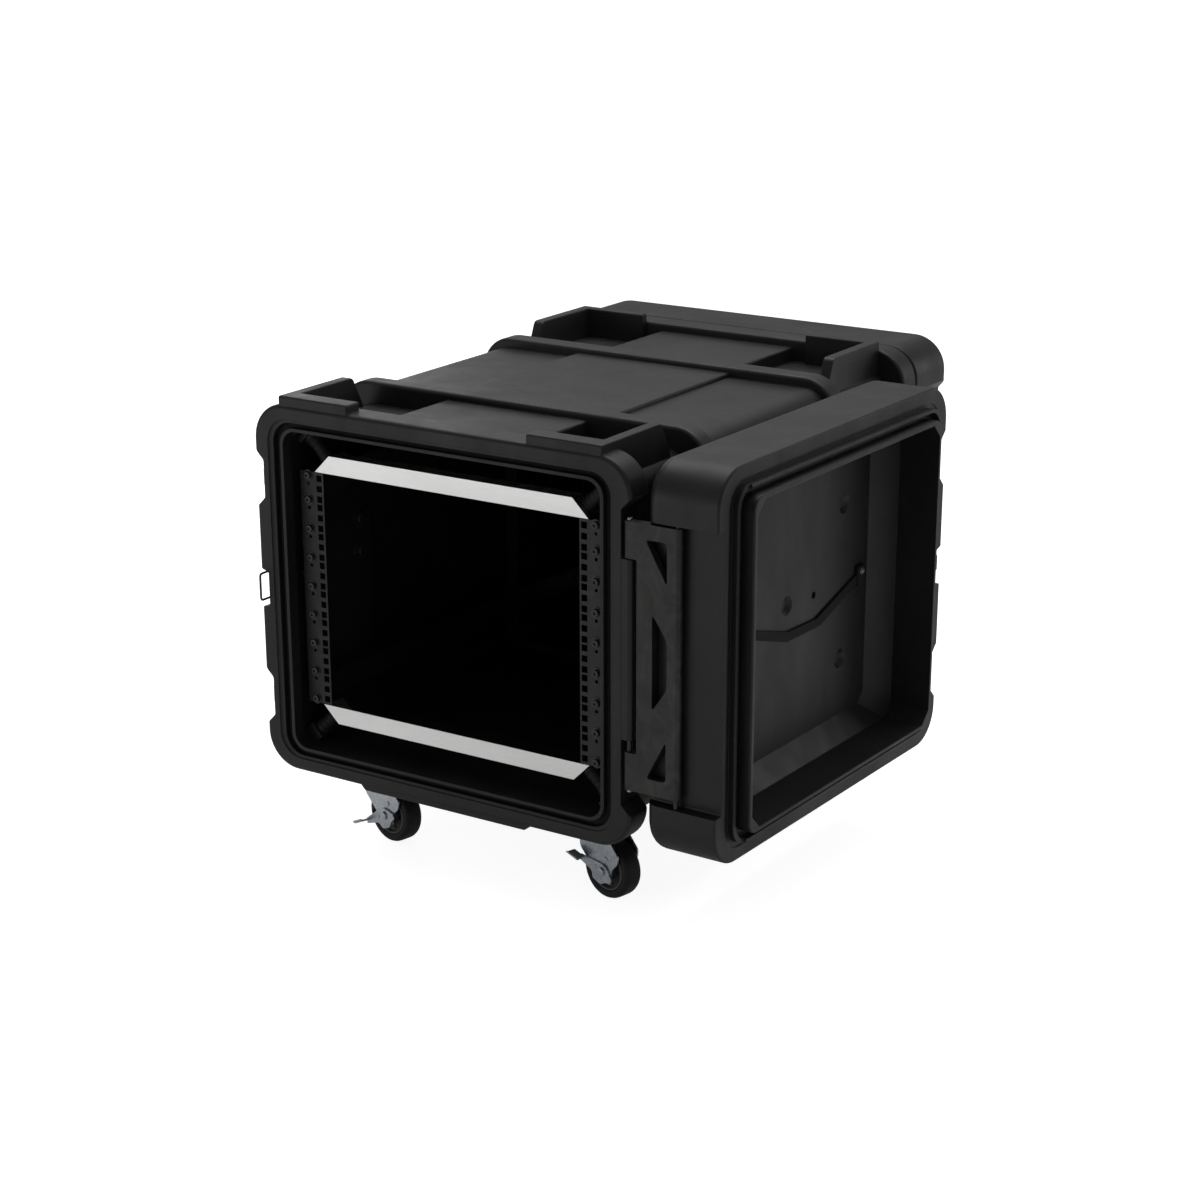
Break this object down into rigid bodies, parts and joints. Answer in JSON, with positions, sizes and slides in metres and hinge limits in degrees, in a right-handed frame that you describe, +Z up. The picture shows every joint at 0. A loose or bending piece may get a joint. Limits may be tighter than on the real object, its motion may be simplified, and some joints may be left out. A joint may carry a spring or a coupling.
{
  "type": "equipment rack case",
  "caption": "Shock-mounted rack case: black moulded body open at both ends, lids on double hinge links, inner rack frame with square-hole rails, swivel casters.",
  "frame": {"origin": "on the floor, under the middle of the box that holds the case with its front lid hung open and its rear lid shut", "axes": "+X to the right of someone facing the front opening, +Y from the front opening to the rear one, +Z up"},
  "size_m": [0.8265, 0.9862, 0.71],
  "materials": {
    "moulded_shell": "rotationally moulded black polyethylene with a fine grain",
    "latch_plastic": "smooth black moulded plastic",
    "seal_rubber": "soft black foam rubber",
    "link_coating": "black textured powder coat",
    "pin_steel": "plain drawn steel",
    "black_steel": "black passivated steel",
    "rail_coating": "satin black powder coat",
    "bar_metal": "satin silver",
    "mount_rubber": "matte black rubber",
    "zinc_steel": "bright zinc plate",
    "tyre_rubber": "black tyre on a dark hub with a paler ring",
    "handle_coating": "black coating over steel"
  },
  "bodies": {
    "case_body": {"body_shell": "moulded_shell", "front_gasket": "seal_rubber", "front_body_hinge_pin": "pin_steel", "front_upper_keeper": "black_steel", "front_lower_keeper": "black_steel", "front_left_rail": "rail_coating", "front_right_rail": "rail_coating", "front_top_bar": "bar_metal", "front_bottom_bar": "bar_metal", "front_upper_left_shock_mount": "mount_rubber", "front_upper_right_shock_mount": "mount_rubber", "front_lower_left_shock_mount": "mount_rubber", "front_lower_right_shock_mount": "mount_rubber", "front_left_caster_plate": "zinc_steel", "front_right_caster_plate": "zinc_steel", "rear_gasket": "seal_rubber", "rear_body_hinge_pin": "pin_steel", "rear_upper_keeper": "black_steel", "rear_lower_keeper": "black_steel", "rear_left_rail": "rail_coating", "rear_right_rail": "rail_coating", "rear_top_bar": "bar_metal", "rear_bottom_bar": "bar_metal", "rear_upper_left_shock_mount": "mount_rubber", "rear_upper_right_shock_mount": "mount_rubber", "rear_lower_left_shock_mount": "mount_rubber", "rear_lower_right_shock_mount": "mount_rubber", "rear_left_caster_plate": "zinc_steel", "rear_right_caster_plate": "zinc_steel", "upper_left_beam": "rail_coating", "upper_right_beam": "rail_coating", "lower_left_beam": "rail_coating", "lower_right_beam": "rail_coating"},
    "front_hinge_link": {"front_hinge_link": "link_coating"},
    "front_lid": {"front_lid": "moulded_shell", "front_lid_hinge_pin": "pin_steel"},
    "front_upper_latch": {"front_upper_latch": "latch_plastic"},
    "front_lower_latch": {"front_lower_latch": "latch_plastic"},
    "front_bail": {"front_bail": "black_steel"},
    "front_left_handle": {"front_left_handle": "handle_coating"},
    "front_left_fork": {"front_left_fork": "zinc_steel"},
    "front_left_wheel": {"front_left_wheel": "tyre_rubber"},
    "front_left_brake_pedal": {"front_left_brake_pedal": "zinc_steel"},
    "front_right_handle": {"front_right_handle": "handle_coating"},
    "front_right_fork": {"front_right_fork": "zinc_steel"},
    "front_right_wheel": {"front_right_wheel": "tyre_rubber"},
    "front_right_brake_pedal": {"front_right_brake_pedal": "zinc_steel"},
    "rear_hinge_link": {"rear_hinge_link": "link_coating"},
    "rear_lid": {"rear_lid": "moulded_shell", "rear_lid_hinge_pin": "pin_steel"},
    "rear_upper_latch": {"rear_upper_latch": "latch_plastic"},
    "rear_lower_latch": {"rear_lower_latch": "latch_plastic"},
    "rear_bail": {"rear_bail": "black_steel"},
    "rear_left_handle": {"rear_left_handle": "handle_coating"},
    "rear_left_fork": {"rear_left_fork": "zinc_steel"},
    "rear_left_wheel": {"rear_left_wheel": "tyre_rubber"},
    "rear_right_handle": {"rear_right_handle": "handle_coating"},
    "rear_right_fork": {"rear_right_fork": "zinc_steel"},
    "rear_right_wheel": {"rear_right_wheel": "tyre_rubber"}
  },
  "joints": [
    {"name": "front_link", "type": "hinge", "parent": "case_body", "child": "front_hinge_link", "pos_m": [0.2364, -0.4714, 0.41325], "axis": [0, 0, 1], "range_deg": [-90, 0]},
    {"name": "front_lid_swing", "type": "hinge", "parent": "front_hinge_link", "child": "front_lid", "pos_m": [0.3124, -0.4714, 0.41325], "axis": [0, 0, 1], "range_deg": [-178.85, 0]},
    {"name": "rear_link", "type": "hinge", "parent": "case_body", "child": "rear_hinge_link", "pos_m": [-0.4056, 0.3686, 0.41325], "axis": [0, 0, 1], "range_deg": [0, 90]},
    {"name": "rear_lid_swing", "type": "hinge", "parent": "rear_hinge_link", "child": "rear_lid", "pos_m": [-0.4056, 0.4446, 0.41325], "axis": [0, 0, 1], "range_deg": [0, 178.85]},
    {"name": "front_upper_latch_slide", "type": "slide", "parent": "front_lid", "child": "front_upper_latch", "axis": [0.9998, -0.0201, 0], "range_m": [0, 0.028]},
    {"name": "rear_upper_latch_slide", "type": "slide", "parent": "rear_lid", "child": "rear_upper_latch", "axis": [0, 1, 0], "range_m": [0, 0.028]},
    {"name": "front_lower_latch_slide", "type": "slide", "parent": "front_lid", "child": "front_lower_latch", "axis": [0.9998, -0.0201, 0], "range_m": [0, 0.028]},
    {"name": "rear_lower_latch_slide", "type": "slide", "parent": "rear_lid", "child": "rear_lower_latch", "axis": [0, 1, 0], "range_m": [0, 0.028]},
    {"name": "front_bail_turn", "type": "hinge", "parent": "case_body", "child": "front_bail", "pos_m": [-0.4026, -0.4574, 0.41625], "axis": [0, 0, 1], "range_deg": [-100, 0]},
    {"name": "rear_bail_turn", "type": "hinge", "parent": "case_body", "child": "rear_bail", "pos_m": [0.2334, 0.3546, 0.41625], "axis": [0, 0, 1], "range_deg": [-100, 0]},
    {"name": "front_left_handle_lift", "type": "hinge", "parent": "case_body", "child": "front_left_handle", "pos_m": [-0.3851, -0.3544, 0.474], "axis": [0, 1, 0], "range_deg": [0, 90], "stiffness_Nm_per_rad": 0.25},
    {"name": "front_right_handle_lift", "type": "hinge", "parent": "case_body", "child": "front_right_handle", "pos_m": [0.2159, -0.3544, 0.474], "axis": [0, -1, 0], "range_deg": [0, 90], "stiffness_Nm_per_rad": 0.25},
    {"name": "rear_left_handle_lift", "type": "hinge", "parent": "case_body", "child": "rear_left_handle", "pos_m": [-0.3851, 0.2336, 0.474], "axis": [0, 1, 0], "range_deg": [0, 90], "stiffness_Nm_per_rad": 0.25},
    {"name": "rear_right_handle_lift", "type": "hinge", "parent": "case_body", "child": "rear_right_handle", "pos_m": [0.2159, 0.2336, 0.474], "axis": [0, -1, 0], "range_deg": [0, 90], "stiffness_Nm_per_rad": 0.25},
    {"name": "front_left_swivel", "type": "hinge", "parent": "case_body", "child": "front_left_fork", "pos_m": [-0.2841, -0.3614, 0.11], "axis": [0, 0, 1], "continuous": true},
    {"name": "front_left_wheel_spin", "type": "hinge", "parent": "front_left_fork", "child": "front_left_wheel", "pos_m": [-0.25671, -0.36722, 0.045], "axis": [0.2079, 0.9781, 0], "continuous": true},
    {"name": "front_left_brake", "type": "hinge", "parent": "front_left_fork", "child": "front_left_brake_pedal", "pos_m": [-0.25671, -0.36722, 0.045], "axis": [0.2079, 0.9781, 0], "range_deg": [0, 41]},
    {"name": "front_right_swivel", "type": "hinge", "parent": "case_body", "child": "front_right_fork", "pos_m": [0.1149, -0.3614, 0.11], "axis": [0, 0, 1], "continuous": true},
    {"name": "front_right_wheel_spin", "type": "hinge", "parent": "front_right_fork", "child": "front_right_wheel", "pos_m": [0.14229, -0.36722, 0.045], "axis": [0.2079, 0.9781, 0], "continuous": true},
    {"name": "front_right_brake", "type": "hinge", "parent": "front_right_fork", "child": "front_right_brake_pedal", "pos_m": [0.14229, -0.36722, 0.045], "axis": [0.2079, 0.9781, 0], "range_deg": [-41, 0]},
    {"name": "rear_left_swivel", "type": "hinge", "parent": "case_body", "child": "rear_left_fork", "pos_m": [-0.2841, 0.2186, 0.11], "axis": [0, 0, 1], "continuous": true},
    {"name": "rear_left_wheel_spin", "type": "hinge", "parent": "rear_left_fork", "child": "rear_left_wheel", "pos_m": [-0.25671, 0.21278, 0.045], "axis": [0.2079, 0.9781, 0], "continuous": true},
    {"name": "rear_right_swivel", "type": "hinge", "parent": "case_body", "child": "rear_right_fork", "pos_m": [0.1149, 0.2186, 0.11], "axis": [0, 0, 1], "continuous": true},
    {"name": "rear_right_wheel_spin", "type": "hinge", "parent": "rear_right_fork", "child": "rear_right_wheel", "pos_m": [0.14229, 0.21278, 0.045], "axis": [0.2079, 0.9781, 0], "continuous": true}
  ]
}
